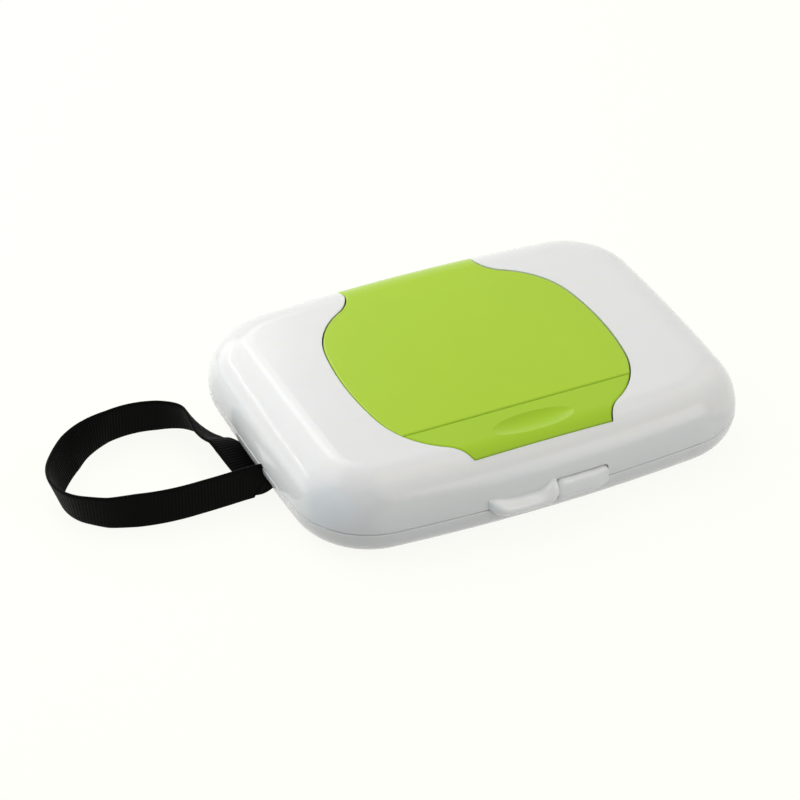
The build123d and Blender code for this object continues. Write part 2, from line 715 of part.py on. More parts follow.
def bay_walls():
    """The trough behind the deck that the lid's hinge turns in."""
    half = NECK_HALF_WIDTH + WELL_GAP
    outer = block(
        (-half - BAY_WALL, BAY_FRONT_Y - BAY_WALL, BAY_FLOOR_Z),
        (half + BAY_WALL, DEPTH / 2, HEIGHT),
    )
    with BuildPart() as walls:
        add(within_case(outer, WALL + SEAT_GAP))
        add(block((-half, BAY_FRONT_Y, BAY_FLOOR_Z + BAY_FLOOR), (half, DEPTH, HEIGHT)), mode=Mode.SUBTRACT)
        add(block((-half, 0, DECK_TOP), (half, DEPTH, HEIGHT)), mode=Mode.SUBTRACT)
    return walls.part


def lug():
    """The right-hand ear of the lid hinge, standing on the trough's floor."""
    foot = block(
        (LUG_INNER_X, PIVOT_Y - LUG_RADIUS, BAY_FLOOR_Z),
        (LUG_OUTER_X, PIVOT_Y + LUG_RADIUS, PIVOT_Z),
    )
    with BuildPart() as ear:
        add(within_case(foot, WALL + SEAT_GAP))
        add(x_cylinder(LUG_RADIUS, LUG_INNER_X, LUG_OUTER_X, PIVOT_Y, PIVOT_Z))
    return ear.part


def frame_plate():
    """Deck, well wall and flange of the dispenser frame, before its details."""
    with BuildPart() as plate:
        add(column(insert_outline(FLANGE), DECK_BOTTOM, HEIGHT))
        add(case_body(WALL + SEAT_GAP), mode=Mode.INTERSECT)
        with BuildSketch(Plane.XY.offset(DECK_BOTTOM)) as outside:
            add(insert_outline(2 * FLANGE))
            add(insert_outline(WELL_GAP + WELL_WALL), mode=Mode.SUBTRACT)
        around = column(outside.sketch, DECK_BOTTOM - WALL, HEIGHT)
        add(within_case(around, WALL + FLANGE_THICKNESS), mode=Mode.SUBTRACT)
        add(column(insert_outline(WELL_GAP), DECK_TOP, HEIGHT), mode=Mode.SUBTRACT)
    return plate.part


os.makedirs("parts", exist_ok=True)

# Lower shell: the tray that holds the wipes
with BuildPart() as lower_shell:
    add(case_body(0))
    split(bisect_by=Plane.XY.offset(PARTING_Z), keep=Keep.BOTTOM)
    fillet(lower_shell.faces().sort_by(Axis.Z)[-1].edges(), PARTING_EDGE)
    add(case_body(WALL), mode=Mode.SUBTRACT)
    add(rim(PARTING_Z - RIM_DEPTH, PARTING_Z))
    add(both_sides([knuckle_space(MIDDLE_SPAN)]), mode=Mode.SUBTRACT)
    add(both_sides([knuckle(span, False) for span in END_SPANS]))
    add(both_sides([shell_pin_bore(SHELL_PIN_RADIUS)]), mode=Mode.SUBTRACT)
    add(press_tab())
    add(strap_housing())
    with BuildSketch(Plane.XY.offset(PARTING_Z)):
        add(case_outline(SEAL_INSET))
        add(case_outline(SEAL_INSET + SEAL_WIDTH + 2 * SEAL_SIDE_GAP), mode=Mode.SUBTRACT)
    extrude(amount=-(SEAL_HEIGHT - SEAL_PROUD), mode=Mode.SUBTRACT)
    add(block((SLOT_LOW[0] - WALL, SLOT_LOW[1], SLOT_LOW[2]), SLOT_HIGH), mode=Mode.SUBTRACT)
    add(strap_bar_rod(), mode=Mode.SUBTRACT)
save(lower_shell, "lower_shell")

# Upper shell: the cover, with the opening for the insert
with BuildPart() as upper_shell:
    add(case_body(0))
    split(bisect_by=Plane.XY.offset(COVER_Z), keep=Keep.TOP)
    fillet(upper_shell.faces().sort_by(Axis.Z)[0].edges(), PARTING_EDGE)
    add(case_body(WALL), mode=Mode.SUBTRACT)
    add(rim(COVER_Z, COVER_Z + RIM_HEIGHT))
    add(notch_backing())
    with BuildSketch(Plane.XY.offset(REAR_SLOT_Z)):
        add(insert_outline(EDGE_GAP))
    extrude(amount=HEIGHT, mode=Mode.SUBTRACT)
    add(both_sides([knuckle_space(span) for span in END_SPANS]), mode=Mode.SUBTRACT)
    add(both_sides([knuckle(MIDDLE_SPAN, True)]))
    add(both_sides([shell_pin_bore(SHELL_PIN_RADIUS + RUNNING_FIT)]), mode=Mode.SUBTRACT)
    add(lift_tab())
    add(notch(), mode=Mode.SUBTRACT)
    with BuildSketch(Plane.XY.offset(DECK_TOP)):
        with Locations(*screw_places()):
            Circle(BOSS_RADIUS)
    extrude(amount=HEIGHT - WALL / 2 - DECK_TOP)
    with BuildSketch(Plane.XY.offset(DECK_TOP)):
        with Locations(*screw_places()):
            Circle(SCREW_RADIUS)
    extrude(amount=SCREW_DEPTH + SCREW_HOLE_GAP, mode=Mode.SUBTRACT)
save(upper_shell, "upper_shell")

# Pins of the two shell hinges
with BuildPart() as right_shell_hinge_pin:
    add(shell_pin_bore(SHELL_PIN_RADIUS))
    chamfer(right_shell_hinge_pin.edges().filter_by(GeomType.CIRCLE), PIN_CHAMFER)
save(right_shell_hinge_pin, "right_shell_hinge_pin")

with BuildPart() as left_shell_hinge_pin:
    add(right_shell_hinge_pin.part.mirror(Plane.YZ))
save(left_shell_hinge_pin, "left_shell_hinge_pin")

# Seal in the lower shell's rim
with BuildPart() as shell_seal:
    with BuildSketch(Plane.XY.offset(PARTING_Z + SEAL_PROUD)):
        add(case_outline(SEAL_INSET + SEAL_SIDE_GAP))
        add(case_outline(SEAL_INSET + SEAL_SIDE_GAP + SEAL_WIDTH), mode=Mode.SUBTRACT)
    extrude(amount=-SEAL_HEIGHT)
save(shell_seal, "shell_seal")

with BuildPart() as strap_bar:
    add(strap_bar_rod())
save(strap_bar, "strap_bar")

# Dispenser frame: closes the upper shell behind the lid, and carries the lid, the button and the outlet
with BuildPart() as dispenser_frame:
    add(frame_plate())
    bay_room = block((-NECK_HALF_WIDTH - FLANGE, BAY_FRONT_Y, BAY_FLOOR_Z),
                     (NECK_HALF_WIDTH + FLANGE, DEPTH, HEIGHT))
    add(bay_room, mode=Mode.SUBTRACT)
    add(bay_walls())
    add(both_sides([lug()]))
    add(x_cylinder(LID_PIN_RADIUS, -LUG_OUTER_X, LUG_OUTER_X, PIVOT_Y, PIVOT_Z), mode=Mode.SUBTRACT)
    add(stadium(OUTLET_LENGTH + 2 * OUTLET_RIM, OUTLET_WIDTH + 2 * OUTLET_RIM, DECK_BOTTOM, RIM_TOP_Z))
    add(stadium(OUTLET_LENGTH, OUTLET_WIDTH, DECK_BOTTOM, RIM_TOP_Z), mode=Mode.SUBTRACT)
    with BuildSketch(Plane.XY.offset(DECK_BOTTOM)):
        for x, y in screw_places():
            side = math.copysign(1, x)
            with Locations((x, y)):
                Circle(EAR_RADIUS)
            with Locations((x - side * EAR_RADIUS, y)):
                Rectangle(2 * EAR_RADIUS, 2 * EAR_RADIUS)
    extrude(amount=DECK_THICKNESS)
    with BuildSketch(Plane.XY.offset(DECK_BOTTOM)):
        with Locations(*screw_places()):
            Circle(SCREW_RADIUS + SCREW_HOLE_GAP)
    extrude(amount=DECK_THICKNESS, mode=Mode.SUBTRACT)
    with BuildSketch(Plane.XY.offset(DECK_BOTTOM - POST_COLLAR_DROP)):
        with Locations((-POST_X, POST_Y), (POST_X, POST_Y)):
            Circle(POST_RADIUS + POST_COLLAR)
    extrude(amount=POST_COLLAR_DROP)
    with BuildSketch(Plane.XY.offset(DECK_BOTTOM - POST_COLLAR_DROP)):
        with Locations((-POST_X, POST_Y), (POST_X, POST_Y)):
            Circle(POST_RADIUS + POST_FIT)
    extrude(amount=POST_COLLAR_DROP + DECK_THICKNESS, mode=Mode.SUBTRACT)
    with BuildSketch(Plane.XY.offset(DECK_BOTTOM)):
        with Locations((-SNAP_LEG_X, SNAP_SLOT_Y), (SNAP_LEG_X, SNAP_SLOT_Y)):
            Rectangle(SNAP_LEG_WIDTH + 2 * SNAP_GAP, SNAP_LEG_THICKNESS + SNAP_HOOK + 2 * SNAP_GAP)
    extrude(amount=DECK_THICKNESS, mode=Mode.SUBTRACT)
    with BuildSketch(Plane.XY.offset(DECK_TOP)):
        with Locations((-SUPPORT_RAIL_X, RAIL_Y), (SUPPORT_RAIL_X, RAIL_Y)):
            Rectangle(RAIL_WIDTH, RAIL_LENGTH)
    extrude(amount=LATCH_BOTTOM - SEAT_GAP - DECK_TOP)
    with BuildSketch(Plane.XY.offset(DECK_TOP)):
        with Locations((-SIDE_RAIL_X, RAIL_Y), (SIDE_RAIL_X, RAIL_Y)):
            Rectangle(RAIL_WIDTH, RAIL_LENGTH)
    extrude(amount=LATCH_TOP - SNAP_GAP - DECK_TOP)
    add(block(
        (-SPRING_POST_HALF_WIDTH, SPRING_POST_Y - SPRING_POST_LENGTH, DECK_TOP),
        (SPRING_POST_HALF_WIDTH, SPRING_POST_Y, LATCH_TOP - SPRING_POST_DROP),
    ))
save(dispenser_frame, "dispenser_frame")

# Screws that hold the frame up to the upper shell's bosses
with BuildPart() as frame_screws:
    with BuildSketch(Plane.XY.offset(DECK_BOTTOM)):
        with Locations(*screw_places()):
            Circle(SCREW_HEAD_RADIUS)
    extrude(amount=-SCREW_HEAD_HEIGHT)
    chamfer(frame_screws.faces().sort_by(Axis.Z)[:4].edges(), PIN_CHAMFER)
    with BuildSketch(Plane.XY.offset(DECK_BOTTOM)):
        with Locations(*screw_places()):
            Circle(SCREW_RADIUS)
    extrude(amount=DECK_THICKNESS + SCREW_DEPTH)
    with BuildSketch(Plane.XY.offset(DECK_BOTTOM - SCREW_HEAD_HEIGHT)):
        with Locations(*screw_places()):
            Rectangle(SCREW_HEAD_RADIUS, SCREW_SLOT)
            Rectangle(SCREW_SLOT, SCREW_HEAD_RADIUS)
    extrude(amount=SCREW_HEAD_HEIGHT / 2, mode=Mode.SUBTRACT)
save(frame_screws, "frame_screws")

# Soft orifice under the outlet, and the ring that clamps it
with BuildPart() as dispensing_membrane:
    add(stadium(MEMBRANE_LENGTH, MEMBRANE_WIDTH, DECK_BOTTOM - MEMBRANE_THICKNESS, DECK_BOTTOM))
    with BuildSketch(Plane.XY.offset(DECK_BOTTOM)):
        with Locations((0, OUTLET_Y)):
            SlotOverall(MEMBRANE_SLOT_LENGTH, MEMBRANE_SLOT_WIDTH)
        with Locations(*[(x, OUTLET_Y) for x in (-PETAL_PITCH, 0, PETAL_PITCH)]):
            Rectangle(PETAL_SLIT, PETAL_LENGTH)
    extrude(amount=-MEMBRANE_THICKNESS, mode=Mode.SUBTRACT)
save(dispensing_membrane, "dispensing_membrane")

with BuildPart() as membrane_ring:
    add(stadium(RING_LENGTH, RING_WIDTH, RING_BOTTOM_Z, DECK_BOTTOM))
    add(stadium(MEMBRANE_LENGTH + 2 * RING_GAP, MEMBRANE_WIDTH + 2 * RING_GAP,
                RING_BOTTOM_Z + RING_THICKNESS, DECK_BOTTOM), mode=Mode.SUBTRACT)
    add(stadium(OUTLET_LENGTH - 2 * RING_OVERLAP, OUTLET_WIDTH - 2 * RING_OVERLAP,
                RING_BOTTOM_Z, DECK_BOTTOM), mode=Mode.SUBTRACT)
save(membrane_ring, "membrane_ring")

# Lid: a skin with a skirt, and a neck that carries the hinge barrel
with BuildPart() as flip_lid:
    with BuildSketch(Plane.XY.offset(LID_UPRIGHT_Z)):
        add(plan_stretch(insert_outline(0), LID_PLAN_FRONT, DEPTH))
    extrude(amount=LID_SKIRT_Z - LID_UPRIGHT_Z, taper=LID_TAPER)
    add(column(plan_stretch(insert_outline(0), LID_PLAN_FRONT, DEPTH), LID_UPRIGHT_Z, HEIGHT + WALL))
    add(column(plan_stretch(insert_outline(0), LID_NECK_START_Y, DEPTH), PIVOT_Z, LID_UPRIGHT_Z))
    add(case_body(0), mode=Mode.INTERSECT)
    fillet(rim_edges(flip_lid.part), LID_EDGE)
    hollow_plan = plan_stretch(insert_outline(-LID_HOLLOW_INSET), LID_PLAN_FRONT + LID_SKIRT_WALL,
                               LID_HOLLOW_REAR_Y)
    add(within_case(column(hollow_plan, LID_SKIRT_Z, HEIGHT), LID_WALL), mode=Mode.SUBTRACT)
    neck_hollow = block((-LENGTH / 2, LID_NECK_START_Y, DECK_TOP - FLANGE), (LENGTH / 2, DEPTH, HEIGHT))
    add(within_case(neck_hollow, LID_NECK_WALL), mode=Mode.SUBTRACT)
    add(x_cylinder(LID_BARREL_RADIUS, -BARREL_END_X, BARREL_END_X, PIVOT_Y, PIVOT_Z))
    lug_room = x_cylinder(LUG_RADIUS + LUG_GAP, BARREL_END_X, NECK_HALF_WIDTH + WALL, PIVOT_Y, PIVOT_Z)
    add(both_sides([lug_room]), mode=Mode.SUBTRACT)
    add(block((-SPRING_BAY / 2, PIVOT_Y - LID_BARREL_RADIUS, PIVOT_Z - LID_BARREL_RADIUS),
              (SPRING_BAY / 2, PIVOT_Y + SPRING_ROOM, PIVOT_Z)), mode=Mode.SUBTRACT)
    add(x_cylinder(SPRING_ROOM, -SPRING_BAY / 2, SPRING_BAY / 2, PIVOT_Y, PIVOT_Z), mode=Mode.SUBTRACT)
    add(block((-SPRING_BAY / 2, LEG_END_Y, PIVOT_Z), (SPRING_BAY / 2, PIVOT_Y, LEG_TOP_Z + SPRING_BAY_GAP)),
        mode=Mode.SUBTRACT)
    add(within_case(block((SPRING_REST_X, LEG_END_Y, LEG_TOP_Z + SPRING_BAY_GAP),
                          (SPRING_BAY / 2, LEG_END_Y + LID_NECK_WALL, HEIGHT)), LID_NECK_WALL / 2))
    add(x_cylinder(LID_PIN_RADIUS + RUNNING_FIT, -BARREL_END_X, BARREL_END_X, PIVOT_Y, PIVOT_Z),
        mode=Mode.SUBTRACT)
save(flip_lid, "flip_lid")

# Panel inside the lid, with the seal's groove and the tongue that the latch holds
with BuildPart() as lid_inner_panel:
    panel_plan = plan_stretch(insert_outline(-LID_HOLLOW_INSET - LID_PANEL_GAP),
                              TONGUE_Y, LID_HOLLOW_REAR_Y - LID_PANEL_GAP)
    add(column(panel_plan, LID_SKIRT_Z, LID_SKIRT_Z + LID_PANEL_THICKNESS))
    add(block((-TONGUE_HALF_WIDTH, TONGUE_Y, TONGUE_BOTTOM_Z),
              (TONGUE_HALF_WIDTH, TONGUE_Y + TONGUE_THICKNESS, LID_SKIRT_Z + LID_PANEL_THICKNESS)))
    add(block((-NOSE_HALF_WIDTH - SNAP_GAP, TONGUE_Y - WALL, TONGUE_BOTTOM_Z + TONGUE_BAR),
              (NOSE_HALF_WIDTH + SNAP_GAP, TONGUE_Y + WALL, LID_SKIRT_Z)), mode=Mode.SUBTRACT)
    add(seal_band(SEAT_GAP, LID_SKIRT_Z, LID_SKIRT_Z + LID_PANEL_THICKNESS / 2), mode=Mode.SUBTRACT)
save(lid_inner_panel, "lid_inner_panel")

with BuildPart() as lid_seal:
    add(seal_band(0, RIM_TOP_Z + LID_SEAL_GAP, LID_SKIRT_Z + LID_PANEL_THICKNESS / 2))
save(lid_seal, "lid_seal")

with BuildPart() as lid_hinge_pin:
    add(x_cylinder(LID_PIN_RADIUS, -LUG_OUTER_X, LUG_OUTER_X, PIVOT_Y, PIVOT_Z))
    chamfer(lid_hinge_pin.edges().filter_by(GeomType.CIRCLE), PIN_CHAMFER)
save(lid_hinge_pin, "lid_hinge_pin")

# Torsion spring round the lid's pin: one leg on the deck's edge, the other under the lid
with BuildPart() as lid_spring:
    add(spring(SPRING_COIL_RADIUS, SPRING_WIRE_RADIUS, SPRING_LENGTH, SPRING_TURNS,
               (-SPRING_LENGTH / 2, PIVOT_Y, PIVOT_Z), (1, 0, 0)))
save(lid_spring, "lid_spring")

# Button: the strip in front of the lid, with its dish, guide posts, snap legs and ramp ribs
with BuildPart() as release_button:
    button_plan = plan_stretch(insert_outline(0), -DEPTH, BUTTON_PLAN_REAR)
    add(column(button_plan, BUTTON_SKIRT_Z, HEIGHT + WALL))
    add(case_body(0), mode=Mode.INTERSECT)
    fillet(rim_edges(release_button.part), BUTTON_EDGE)
    button_hollow = plan_stretch(insert_outline(-BUTTON_SKIRT_WALL),
                                 -DEPTH, BUTTON_PLAN_REAR - BUTTON_SKIRT_WALL)
    add(within_case(column(button_hollow, BUTTON_SKIRT_Z, HEIGHT), BUTTON_WALL), mode=Mode.SUBTRACT)
    latch_way = block((-LATCH_WAY, BUTTON_PLAN_REAR - 2 * BUTTON_SKIRT_WALL, BUTTON_SKIRT_Z),
                      (LATCH_WAY, BUTTON_PLAN_REAR + WALL, HEIGHT))
    add(within_case(latch_way, BUTTON_WALL), mode=Mode.SUBTRACT)
    dish_pad = block((DISH_X - DISH_HALF_LENGTH, DISH_Y - DISH_HALF_WIDTH, DISH_PAD_Z),
                     (DISH_X + DISH_HALF_LENGTH, DISH_Y + DISH_HALF_WIDTH, DISH_TOP_Z))
    add(within_case(dish_pad, BUTTON_WALL / 2))
    add(dish(), mode=Mode.SUBTRACT)
    with BuildSketch(Plane.XY.offset(DECK_BOTTOM - POST_COLLAR_DROP)):
        with Locations((-POST_X, POST_Y), (POST_X, POST_Y)):
            Circle(POST_RADIUS)
    extrude(amount=POST_TOP_Z - DECK_BOTTOM + POST_COLLAR_DROP)
    add(both_sides([snap_leg(), ramp_rib()]))
save(release_button, "release_button")

# Latch: a plate that slides forwards when the ribs go down, and its return spring
with BuildPart() as latch_slider:
    with BuildSketch(Plane.XY.offset(LATCH_BOTTOM)):
        with Locations((0, (LATCH_FRONT_Y + LATCH_REAR_Y) / 2)):
            Rectangle(2 * LATCH_HALF_WIDTH, LATCH_REAR_Y - LATCH_FRONT_Y)
        with Locations((0, (LATCH_REAR_Y + NOSE_TIP_Y) / 2)):
            Rectangle(2 * NOSE_HALF_WIDTH, NOSE_TIP_Y - LATCH_REAR_Y)
        with Locations((0, LATCH_FRONT_Y + LATCH_NOTCH_DEPTH / 2)):
            Rectangle(2 * LATCH_NOTCH_HALF_WIDTH, LATCH_NOTCH_DEPTH, mode=Mode.SUBTRACT)
    extrude(amount=LATCH_THICKNESS)
    add(block((-LATCH_NOTCH_HALF_WIDTH, LATCH_FRONT_Y + LATCH_NOTCH_DEPTH, DECK_TOP + LATCH_STUB_GAP),
              (LATCH_NOTCH_HALF_WIDTH, LATCH_FRONT_Y + LATCH_NOTCH_DEPTH + LATCH_STUB_LENGTH, LATCH_TOP)))
    add(both_sides([rib_window()]), mode=Mode.SUBTRACT)
save(latch_slider, "latch_slider")

with BuildPart() as latch_spring:
    with BuildSketch(Plane.XY.offset(LATCH_SPRING_BOTTOM)):
        with BuildLine() as folds:
            FilletPolyline(*folded_strip(), radius=LATCH_SPRING_BEND)
        trace(folds.line, LATCH_SPRING_THICKNESS)
    extrude(amount=LATCH_SPRING_TOP - LATCH_SPRING_BOTTOM)
save(latch_spring, "latch_spring")

# Wrist strap: webbing on edge round its loop, with both ends looped round the bar
with BuildPart() as wrist_strap:
    with BuildSketch():
        with BuildLine() as loop:
            FilletPolyline(*STRAP_ROUTE, radius=STRAP_RADII)
        trace(loop.line, STRAP_THICKNESS)
    extrude(amount=STRAP_WIDTH)
    add(strap_bight())
save(wrist_strap, "wrist_strap")
strap_length = sum(edge.length for edge in loop.line.edges())
print("strap radii", [round(radius, 1) for radius in STRAP_RADII], "length", round(strap_length, 1))
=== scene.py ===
import json
import math
import bpy
import bmesh
from mathutils import Matrix, Vector


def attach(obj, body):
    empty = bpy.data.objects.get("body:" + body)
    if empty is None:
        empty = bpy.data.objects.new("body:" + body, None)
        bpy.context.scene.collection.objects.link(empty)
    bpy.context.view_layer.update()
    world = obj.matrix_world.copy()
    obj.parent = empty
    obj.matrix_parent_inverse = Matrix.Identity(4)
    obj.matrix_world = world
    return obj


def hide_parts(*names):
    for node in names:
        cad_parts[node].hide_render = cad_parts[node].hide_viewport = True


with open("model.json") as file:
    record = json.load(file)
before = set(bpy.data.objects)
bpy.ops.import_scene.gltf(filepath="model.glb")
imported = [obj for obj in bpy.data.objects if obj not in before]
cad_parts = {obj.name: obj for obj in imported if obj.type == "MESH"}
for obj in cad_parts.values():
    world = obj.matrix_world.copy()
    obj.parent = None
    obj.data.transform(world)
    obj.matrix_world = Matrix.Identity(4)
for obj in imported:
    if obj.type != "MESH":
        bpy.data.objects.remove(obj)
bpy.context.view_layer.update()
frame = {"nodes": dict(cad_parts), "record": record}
nodes = frame["nodes"]
MM = 0.001
UP = Vector((0, 0, 1))

# Camera, at the photograph's viewing angle
CAMERA_AZIMUTH = math.radians(-27.26)
CAMERA_ELEVATION = math.radians(35.76)
CAMERA_ROLL = math.radians(1.395)
CAMERA_DISTANCE = 1.0576
CAMERA_TARGET = Vector((0.0, 0.0, 0.015))
CAMERA_NEAR = 0.01
FRAME_PIXELS = 800.0
FOCAL_PIXELS = 3074.4
CENTRE_PIXELS = (471.22, 382.40)
SENSOR = 36.0

camera_data = bpy.data.cameras.new("camera")
camera_data.sensor_width = SENSOR
camera_data.lens = SENSOR * FOCAL_PIXELS / FRAME_PIXELS
camera_data.shift_x = -(CENTRE_PIXELS[0] - FRAME_PIXELS / 2) / FRAME_PIXELS
camera_data.shift_y = (CENTRE_PIXELS[1] - FRAME_PIXELS / 2) / FRAME_PIXELS
camera_data.clip_start = CAMERA_NEAR
camera = bpy.data.objects.new("camera", camera_data)
bpy.context.collection.objects.link(camera)
towards_camera = Vector((
    math.sin(CAMERA_AZIMUTH) * math.cos(CAMERA_ELEVATION),
    -math.cos(CAMERA_AZIMUTH) * math.cos(CAMERA_ELEVATION),
    math.sin(CAMERA_ELEVATION),
))
level_right = (-towards_camera).cross(UP).normalized()
level_up = level_right.cross(-towards_camera)
camera_right = level_right * math.cos(CAMERA_ROLL) + level_up * math.sin(CAMERA_ROLL)
camera_up = level_up * math.cos(CAMERA_ROLL) - level_right * math.sin(CAMERA_ROLL)
camera.matrix_world = (
    Matrix.Translation(CAMERA_TARGET + towards_camera * CAMERA_DISTANCE)
    @ Matrix((camera_right, camera_up, towards_camera)).transposed().to_4x4()
)
bpy.context.scene.camera = camera


def skinned(name, build, rings):
    """A closed piece: the rings of vertices joined one to the next, with both ends capped."""
    count = len(rings[0])
    for a, b in zip(rings, rings[1:]):
        for k in range(count):
            build.faces.new((a[k], a[(k + 1) % count], b[(k + 1) % count], b[k]))
    build.faces.new(rings[0])
    build.faces.new(rings[-1][::-1])
    bmesh.ops.recalc_face_normals(build, faces=build.faces)
    mesh = bpy.data.meshes.new(name)
    build.to_mesh(mesh)
    build.free()
    piece = bpy.data.objects.new(name, mesh)
    bpy.context.collection.objects.link(piece)
    return piece


# Strap: a grosgrain band that leaves the slot, lies on its edge in a loop, and twists flat to come back.
# The route's points are in millimetres
STRAP_WIDTH = 13.4 * MM
STRAP_THICKNESS = 1.1 * MM
STRAP_ROUTE = [
    (-79.6, -9.4, 5.4),
    (-80.9, -9.3, 4.4),
    (-83.2, -9.4, 6.3),
    (-88.0, -9.9, 6.8),
    (-98.0, -10.4, 6.8),
    (-117.0, -10.6, 6.8),
    (-133.8, -6.2, 6.8),
    (-137.2, -4.4, 6.8),
    (-146.2, 3.0, 6.8),
    (-147.8, 15.5, 6.8),
    (-138.5, 28.0, 6.8),
    (-127.5, 37.2, 6.8),
    (-110.8, 41.2, 6.8),
    (-95.2, 36.5, 6.8),
    (-90.8, 29.2, 7.2),
    (-89.4, 17.0, 7.6),
    (-86.6, 13.0, 8.4),
    (-83.4, -0.8, 4.2),
    (-82.0, -5.0, 3.9),
    (-81.6, -6.2, 3.9),
]
ROUTE_RESOLUTION = 24
# Lean of the band, in degrees, at shares of its length: upright round the loop, and laid flat on its return
STRAP_LEANS = [
    (0.0, 0.0),
    (0.25, 2.0),
    (0.37, -16.0),
    (0.535, -28.0),
    (0.635, 0.0),
    (0.73, 6.0),
    (0.79, 20.0),
    (0.85, 53.0),
    (0.91, 70.0),
    (1.0, 78.0),
]
# Share of the band's full width at shares of its length: it is gathered where it leaves the slot
STRAP_GATHERS = [(0.0, 0.44), (0.006, 0.6), (0.013, 0.85), (0.02, 0.96), (0.028, 1.0), (1.0, 1.0)]
RIB_PITCH = 1.15 * MM
RIB_HEIGHT = 0.1 * MM
RINGS_PER_RIB = 4
# The plain selvedge: the share of the half width where it begins, and its share of the band's thickness
SELVEDGE = 0.9
SELVEDGE_THICKNESS = 0.85
# A ring of the band's mesh: shares of the width across one face (1) and back across the other (-1)
BAND_STEPS = [0.0, 0.02, 0.06, 0.12, 0.3, 0.5, 0.7, 0.88, 0.94, 0.98, 1.0]
BAND_RING = [(share, 1) for share in BAND_STEPS] + [(share, -1) for share in BAND_STEPS[-2:0:-1]]


def spline_points(route, resolution):
    """The points of the smooth NURBS line that has the route's points as its control points."""
    curve = bpy.data.curves.new("line", "CURVE")
    curve.dimensions = "3D"
    spline = curve.splines.new("NURBS")
    spline.points.add(len(route) - 1)
    for point, (x, y, z) in zip(spline.points, route):
        point.co = (x * MM, y * MM, z * MM, 1)
    spline.order_u = 3
    spline.use_endpoint_u = True
    spline.resolution_u = resolution
    line = bpy.data.objects.new("line", curve)
    mesh = bpy.data.meshes.new_from_object(line)
    points = [vertex.co.copy() for vertex in mesh.vertices]
    bpy.data.objects.remove(line)
    bpy.data.meshes.remove(mesh)
    bpy.data.curves.remove(curve)
    return points


def even_points(points, step):
    """The same line, with its points a step apart. Also its length."""
    travelled = [0.0]
    for a, b in zip(points, points[1:]):
        travelled.append(travelled[-1] + (b - a).length)
    length = travelled[-1]
    count = max(2, round(length / step))
    out = []
    j = 0
    for i in range(count + 1):
        at = length * i / count
        while j < len(travelled) - 2 and travelled[j + 1] < at:
            j += 1
        share = (at - travelled[j]) / (travelled[j + 1] - travelled[j])
        out.append(points[j].lerp(points[j + 1], share))
    return out, length


def between(keys, share):
    """The value of the keys at that share, on straight lines between them."""
    for (start, low), (end, high) in zip(keys, keys[1:]):
        if share <= end:
            return low + (high - low) * (share - start) / (end - start)
    return keys[-1][1]


def heading(line, i):
    """The direction of the line at its point i."""
    return (line[min(i + 1, len(line) - 1)] - line[max(i - 1, 0)]).normalized()


def leaning(line, keys):
    """The band's cross direction at each point of the line, from its lean towards the line's right side."""
    out = []
    for i in range(len(line)):
        along = heading(line, i)
        side = along.cross(UP).normalized()
        rise = side.cross(along).normalized()
        lean = math.radians(between(keys, i / (len(line) - 1)))
        out.append(rise * math.cos(lean) + side * math.sin(lean))
    return out


def band_depth(share, thickness, rib):
    """From the band's middle to its face, at that share of its width: ribs, plain selvedges, closed edges."""
    edge = abs(share - 0.5) * 2
    if edge == 1:
        return 0.0
    if edge > SELVEDGE:
        return thickness / 2 * SELVEDGE_THICKNESS
    return thickness / 2 + rib


def band_mesh(name, line, crosses, widths, thickness, rib_pitch, rib_height):
    """A woven band along a line, with ribs across its width."""
    build = bmesh.new()
    rings = []
    travelled = 0.0
    for i, (point, across, width) in enumerate(zip(line, crosses, widths)):
        if i:
            travelled += (point - line[i - 1]).length
        out = heading(line, i).cross(across).normalized()
        rib = rib_height * math.cos(2 * math.pi * travelled / rib_pitch)
        rings.append([
            build.verts.new(
                point + across * (share - 0.5) * width + out * face * band_depth(share, thickness, rib)
            )
            for share, face in BAND_RING
        ])
    piece = skinned(name, build, rings)
    for polygon in piece.data.polygons:
        polygon.use_smooth = True
    return piece


strap_line, strap_length = even_points(spline_points(STRAP_ROUTE, ROUTE_RESOLUTION), RIB_PITCH / RINGS_PER_RIB)
strap_crosses = leaning(strap_line, STRAP_LEANS)
strap_last = len(strap_line) - 1
strap_widths = [STRAP_WIDTH * between(STRAP_GATHERS, i / strap_last) for i in range(len(strap_line))]
strap = band_mesh("strap_band", strap_line, strap_crosses, strap_widths, STRAP_THICKNESS, RIB_PITCH, RIB_HEIGHT)
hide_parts("wrist_strap")
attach(strap, "base")

# The band's flat turn round the bar, between its two ends, in millimetres
BAR_PLACE = (-78.9, -9.0, 5.6)
BIGHT_RADIUS = 1.75
BIGHT_END = -79.5
BIGHT_STEPS = 12
bight_line = [Vector((BIGHT_END, BAR_PLACE[1], BAR_PLACE[2] + BIGHT_RADIUS)) * MM]
for step in range(BIGHT_STEPS + 1):
    turn = math.pi * step / BIGHT_STEPS
    bight_line.append(Vector((
        BAR_PLACE[0] + BIGHT_RADIUS * math.sin(turn),
        BAR_PLACE[1],
        BAR_PLACE[2] + BIGHT_RADIUS * math.cos(turn),
    )) * MM)
bight_line.append(Vector((BIGHT_END, BAR_PLACE[1], BAR_PLACE[2] - BIGHT_RADIUS)) * MM)
bight_crosses = [Vector((0, 1, 0))] * len(bight_line)
bight_widths = [STRAP_WIDTH] * len(bight_line)
bight = band_mesh("strap_bight", bight_line, bight_crosses, bight_widths, STRAP_THICKNESS, RIB_PITCH, 0.0)
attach(bight, "base")

